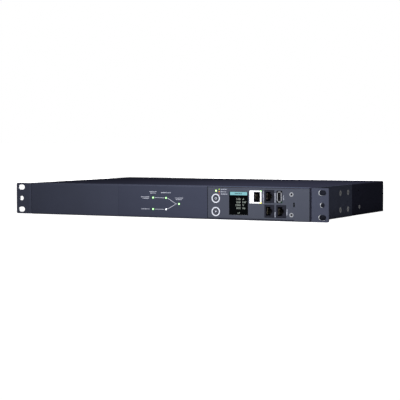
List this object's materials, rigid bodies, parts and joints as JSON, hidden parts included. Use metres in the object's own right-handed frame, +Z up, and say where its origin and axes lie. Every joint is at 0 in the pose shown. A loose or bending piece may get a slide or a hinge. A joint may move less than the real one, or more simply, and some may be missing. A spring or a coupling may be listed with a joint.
{
  "type": "rack static transfer switch",
  "caption": "One-unit rack static transfer switch: folded metal housing with rack ears, status lamps, screen, buttons, sockets, rear inlets and outlets.",
  "frame": {"origin": "centre of the four rack slots, on the rear face of the rack ears, which bears on the rack's rails", "axes": "+X to the right across the front as a person facing it sees it, +Y towards the rear, +Z up"},
  "size_m": [0.4826, 0.2887, 0.0444],
  "materials": {
    "housing_powder_coat": "satin",
    "front_powder_coat": "satin",
    "ear_powder_coat": "satin",
    "black_oxide_steel": "semi-matte",
    "zinc_plated_steel": "satin",
    "nickel_plated_steel": "bright",
    "status_film": "fine matte",
    "lit_green_lens": "glowing",
    "unlit_white_lens": "gloss",
    "lit_lime_lens": "glowing",
    "lit_yellow_lens": "glowing",
    "circuit_board": "solder mask",
    "screen_glass": "gloss",
    "white_bezel_plastic": "satin",
    "dark_button_plastic": "satin",
    "white_jack_plastic": "satin",
    "black_connector_plastic": "matte",
    "ivory_plastic": "matte",
    "gold_plated_contact": "bright",
    "black_epoxy": "matte",
    "ferrite_and_copper": "mixed",
    "capacitor_sleeve": "gloss",
    "capacitor_box": "matte",
    "relay_case": "satin",
    "fuse_ceramic": "gloss",
    "sink_aluminium": "extruded",
    "busbar_copper": "bright",
    "brass_stud": "bright"
  },
  "bodies": {
    "housing": {"chassis_base": "front_powder_coat", "top_cover": "housing_powder_coat", "rack_ear_left": "ear_powder_coat", "rack_ear_right": "ear_powder_coat", "ear_screws": "black_oxide_steel", "ear_nuts": "zinc_plated_steel", "cover_screws": "black_oxide_steel", "status_film": "status_film", "status_light_pipes": "lit_green_lens", "standby_light_pipe": "unlit_white_lens", "status_board": "circuit_board", "status_posts": "zinc_plated_steel", "module_faceplate": "front_powder_coat", "module_board": "circuit_board", "module_posts": "zinc_plated_steel", "accessory_inserts": "nickel_plated_steel", "module_screws": "zinc_plated_steel", "lcd_glass": "screen_glass", "lcd_module": "zinc_plated_steel", "indicator_light_pipe": "lit_lime_lens", "button_bezels": "white_bezel_plastic", "tact_switches": "black_connector_plastic", "network_jack_shield": "white_jack_plastic", "network_jack_insert": "black_connector_plastic", "link_lamp": "lit_green_lens", "activity_lamp": "lit_yellow_lens", "aux_port_upper": "black_connector_plastic", "aux_port_lower_left": "black_connector_plastic", "aux_port_lower_right": "black_connector_plastic", "usb_shell": "nickel_plated_steel", "usb_tongue": "ivory_plastic", "port_contacts": "gold_plated_contact", "network_board": "circuit_board", "control_board": "circuit_board", "control_chips": "black_epoxy", "supply_board": "circuit_board", "supply_transformer": "ferrite_and_copper", "supply_capacitors": "capacitor_sleeve", "power_board": "circuit_board", "input_fuses": "fuse_ceramic", "line_chokes": "ferrite_and_copper", "filter_capacitors": "capacitor_box", "transfer_relays": "relay_case", "current_sensor": "black_epoxy", "heat_sink": "sink_aluminium", "thyristors_source_a": "black_epoxy", "thyristors_source_b": "black_epoxy", "inlet_a": "black_connector_plastic", "inlet_b": "black_connector_plastic", "inlet_pins": "nickel_plated_steel", "inlet_screws": "black_oxide_steel", "outlet_block_left": "black_connector_plastic", "outlet_block_right": "black_connector_plastic", "outlet_busbars": "busbar_copper", "ground_stud": "brass_stud", "board_mounts": "zinc_plated_steel"},
    "upper_button": {"upper_button_cap": "dark_button_plastic", "upper_switch_plunger": "ivory_plastic"},
    "lower_button": {"lower_button_cap": "dark_button_plastic", "lower_switch_plunger": "ivory_plastic"}
  },
  "joints": [
    {"name": "upper_button_press", "type": "slide", "parent": "housing", "child": "upper_button", "axis": [0, 1, 0], "range_m": [0, 0.0006], "stiffness_N_per_m": 400},
    {"name": "lower_button_press", "type": "slide", "parent": "housing", "child": "lower_button", "axis": [0, 1, 0], "range_m": [0, 0.0006], "stiffness_N_per_m": 400}
  ]
}
